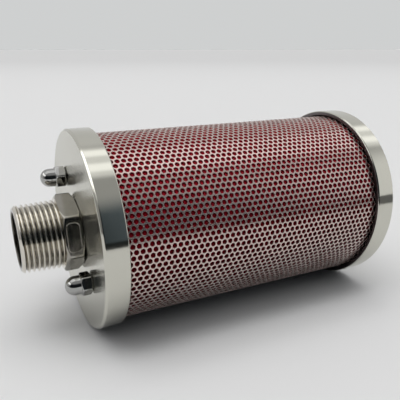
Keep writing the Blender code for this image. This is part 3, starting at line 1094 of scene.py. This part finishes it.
def make_gasket(node):
    start, end, radius = GASKETS[node]
    bore = radius - TUBE_WALL - 2 * (TUBE_GROOVE_CLEARANCE - FIT_GAP)
    corners = [(start, bore), (start, radius), (end, radius), (end, bore)]
    profile = filleted(corners, GASKET_ROUNDING, closed=True)
    return smooth(revolve(f"{node}_ring", profile, SOFT_STEPS, closed=True))


# ---- stage, light and camera


def make_floor():
    """A plain pale floor under the muffler, which fades a little with distance."""
    reach = 40.0
    corners = [(-reach, -reach, 0.0), (reach, -reach, 0.0), (reach, reach, 0.0), (-reach, reach, 0.0)]
    floor = add_mesh("floor", corners, [(0, 1, 2, 3)])
    floor.location.z = CAD_BOX[0].z
    paint = Surface("pale floor", Metallic=0.0, Roughness=0.9, Specular_IOR_Level=0.2)
    shade = paint.between(paint.length(paint.place), 1.2, 6.0, FLOOR_ALBEDO, FLOOR_ALBEDO * 0.87)
    bounced = paint.add("ShaderNodeLightPath").outputs["Diffuse Depth"]
    paint.set(Base_Color=paint.product(shade, paint.between(bounced, 0.0, 1.0, 1.0, FLOOR_BOUNCE)))
    floor.data.materials.append(paint.material)


def share_of_turn(degrees):
    """A compass bearing, from +Y towards +X, as the world's shader counts it."""
    return degrees / 360 + 0.5


def room_light(nodes, x, y, z):
    """Pale walls, a bright one to the right, a dark room behind the camera, and a ceiling whose light panel
    along the muffler has two brighter strips. Also gives the direction's bearing, as a share of a turn."""
    bearing = nodes.math("ADD", nodes.math("DIVIDE", nodes.math("ARCTAN2", x, y), 2 * math.pi), 0.5)
    stops = [
        (-180, colour(*CAMERA_SIDE)),
        (-118, colour(*CAMERA_SIDE)),
        (-94, grey(0.35)),
        (-72, grey(0.62)),
        (60, grey(0.66)),
        (104, grey(0.60)),
        (118, grey(0.84)),
        (136, grey(0.84)),
        (147, colour(*ROOM_DARK)),
        (160, colour(*ROOM_DARK)),
        (172, colour(*CAMERA_SIDE)),
        (180, colour(*CAMERA_SIDE)),
    ]
    walls = nodes.ramp(bearing, [(share_of_turn(degrees), light) for degrees, light in stops])
    above = nodes.math("MAXIMUM", z, 0.05)
    along, across = nodes.math("DIVIDE", x, above), nodes.math("DIVIDE", y, above)
    ceiling = nodes.between(across, 0.3, 0.7, CEILING, 0.68)
    light = nodes.mix(nodes.between(z, 0.50, 0.80), walls, ceiling)
    ends = nodes.band(along, -1.0, -0.6, 1.5, 1.9)
    panel = nodes.band(across, -0.34, -0.20, 0.40, 0.56)
    light = nodes.mix(nodes.product(ends, panel), light, grey(PANEL))
    for middle in (-0.05, 0.32):
        strip = nodes.between(nodes.distance(across, middle), 0.13, 0.05)
        light = nodes.brighten(light, nodes.product(ends, strip, STRIP))
    return light, bearing


def make_world():
    """A soft studio, of which the camera itself sees only a plain background. Polished surfaces also show a
    light high on the left, and matt ones are lit more from overhead, from the left and from the front."""
    world = bpy.data.worlds.new("studio")
    bpy.context.scene.world = world
    world.use_nodes = True
    world.cycles.sampling_method = "NONE"  # so that each ray finds the light meant for its kind
    world.node_tree.nodes.clear()
    nodes = Nodes(world.node_tree)
    x, y, z = nodes.split(nodes.add("ShaderNodeTexCoord").outputs["Generated"])
    light, bearing = room_light(nodes, x, y, z)
    path = nodes.add("ShaderNodeLightPath").outputs
    on_matt = nodes.math("MINIMUM", path["Diffuse Depth"], 1.0)
    beside = nodes.between(nodes.distance(bearing, share_of_turn(-80)), 0.10, 0.085)
    side_light = nodes.product(beside, nodes.band(z, 0.42, 0.48, 0.64, 0.70))
    on_polished = nodes.math("SUBTRACT", 1.0, on_matt)
    light = nodes.brighten(light, nodes.product(side_light, on_polished, SIDE_LIGHT))
    gain = nodes.product(
        nodes.between(z, 0.75, 1.0, *MATT_GAIN),
        nodes.between(x, -1.0, 1.0, *MATT_FROM_SIDES, smooth=False),
        nodes.between(y, -0.7, 0.7, *MATT_FROM_FRONT),
        nodes.between(z, 0.0, 0.6, MATT_FROM_HORIZON, 1.0),
    )
    strength = nodes.mix(on_matt, grey(1.0), gain)
    studio = nodes.add("ShaderNodeBackground", {"Color": light, "Strength": strength}).outputs[0]
    backdrop = nodes.add("ShaderNodeBackground", {"Color": colour(*BACKDROP)}).outputs[0]
    mixed = nodes.add("ShaderNodeMixShader", {0: path["Is Camera Ray"], 1: studio, 2: backdrop})
    nodes.add("ShaderNodeOutputWorld", {"Surface": mixed.outputs[0]})


def make_table_edge():
    """A low dark band in front, paler to the right, where the table ends. Only reflections show it."""
    steps, first, sweep = 24, 112, 128
    low, high = CAD_BOX[0].z + 1 * MM, 25 * MM
    vertices, faces = [], []
    for i in range(steps + 1):
        bearing = math.radians(first + sweep * i / steps)
        x, y = TABLE_EDGE_DISTANCE * math.sin(bearing), TABLE_EDGE_DISTANCE * math.cos(bearing)
        vertices += [(x, y, low), (x, y, high)]
        if i:
            faces.append((2 * i - 2, 2 * i - 1, 2 * i + 1, 2 * i))
    edge = add_mesh("table_edge", vertices, faces)
    edge.visible_camera = edge.visible_diffuse = edge.visible_shadow = False
    dark = Surface("dark beyond the table", Metallic=0.0, Roughness=1.0)
    paler = dark.between(dark.split(dark.place)[0], 0.33, 0.50)
    dark.set(Base_Color=dark.mix(paler, colour(0.02, 0.025, 0.025), grey(0.42)))
    edge.data.materials.append(dark.material)


def make_camera():
    camera = add_object("camera", bpy.data.cameras.new("camera"))
    camera.location = CAMERA_PLACE
    camera.rotation_euler = (math.radians(90 - CAMERA_PITCH), 0.0, math.radians(-CAMERA_YAW))
    camera.data.lens = CAMERA_LENS
    camera.data.shift_x, camera.data.shift_y = CAMERA_SHIFT
    camera.data.clip_start, camera.data.clip_end = 0.01, 200.0
    bpy.context.scene.camera = camera


# ---- the whole muffler


def add_piece(obj, material, slot, *nodes):
    """Gives a finished piece its material, hangs it under the root body and hides the solids it replaces. Its
    slot is not used.
    """
    obj.data.materials.clear()
    obj.data.materials.append(material)
    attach(obj, "root")
    if nodes:
        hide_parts(*nodes)
    return obj


def give_cap_materials(cap, face, inside):
    """The rim is polished, the outer face is satin and the inner face and its grooves get dull steel painted
    dark, as painted shade.
    """
    cap.data.materials.append(face)
    cap.data.materials.append(inside)
    rim_radius = CAP_RADIUS - CAP_INNER_CHAMFER
    for polygon in cap.data.polygons:
        x, y, z = polygon.center
        from_outside = min(abs(x - FRONT_FACE), abs(x - REAR_FACE))
        if from_outside < FIT_GAP and abs(polygon.normal.x) > 0.98:
            polygon.material_index = 1
        elif from_outside > CAP_CHAMFER and math.hypot(y, z) < rim_radius:
            # inner faces and grooves: dark steel, painted shade
            polygon.material_index = 2


def give_nipple_materials(nipple, cast):
    """The hexagon's faces keep their cast skin, the bore gets the same darker steel as painted shade, and the
    rest is machined.
    """
    nipple.data.materials.append(cast)
    outside, inside = THREAD_RADIUS + 0.1 * MM, NIPPLE_BORE_RADIUS + 0.1 * MM
    for polygon in nipple.data.polygons:
        x, y, z = polygon.center
        radius = math.hypot(y, z)
        # the bore's darker steel is painted shade inside it
        if radius < inside or (HEX_FRONT - FIT_GAP < x < HEX_REAR + FIT_GAP and radius > outside):
            polygon.material_index = 1


def main():
    make_camera()
    make_world()
    make_floor()
    make_table_edge()
    rim, face = cap_steel("turned rim steel", 0.08, 0.10), cap_steel("turned face steel", 0.17, 0.14)
    inside = dull_cap_steel_painted_shade()
    sheet, thread, cast = sheet_steel(), thread_steel(), cast_steel()
    bright, rod, rubber = bright_steel(), rod_steel(), black_rubber()
    felt_red, wool = red_felt(), pale_wool()

    for cap, node in ((make_front_end_cap(), "front_end_cap"), (make_rear_end_cap(), "rear_end_cap")):
        give_cap_materials(add_piece(cap, rim, "cap_steel", node), face, inside)
    for sector in make_outer_tube():
        add_piece(sector, sheet, "perforated_steel", "outer_perforated_tube")
    add_piece(make_inner_tube(), sheet, "perforated_steel", "inner_perforated_tube")
    blanket = add_piece(make_blanket(), wool, "absorber_wool", "absorber_blanket")
    felt = add_piece(make_felt(), felt_red, "red_felt", "red_felt_sleeve")
    nipple = add_piece(make_nipple(), thread, "nipple_steel", "hex_nipple")
    give_nipple_materials(nipple, cast)
    add_piece(make_cast_frame(), cast, "nipple_steel")
    for side in SIDES:
        add_piece(make_tie_rod(side), rod, "rod_steel", f"tie_rod_{side}")
        add_piece(make_acorn_nut(side), bright, "bright_steel", f"acorn_nut_{side}")
        add_piece(make_lock_nut(side), rod, "rod_steel", f"rod_lock_nut_{side}")
    for node in GASKETS:
        add_piece(make_gasket(node), rubber, "black_rubber", node)
    bpy.context.scene.view_settings.view_transform = "Standard"


main()
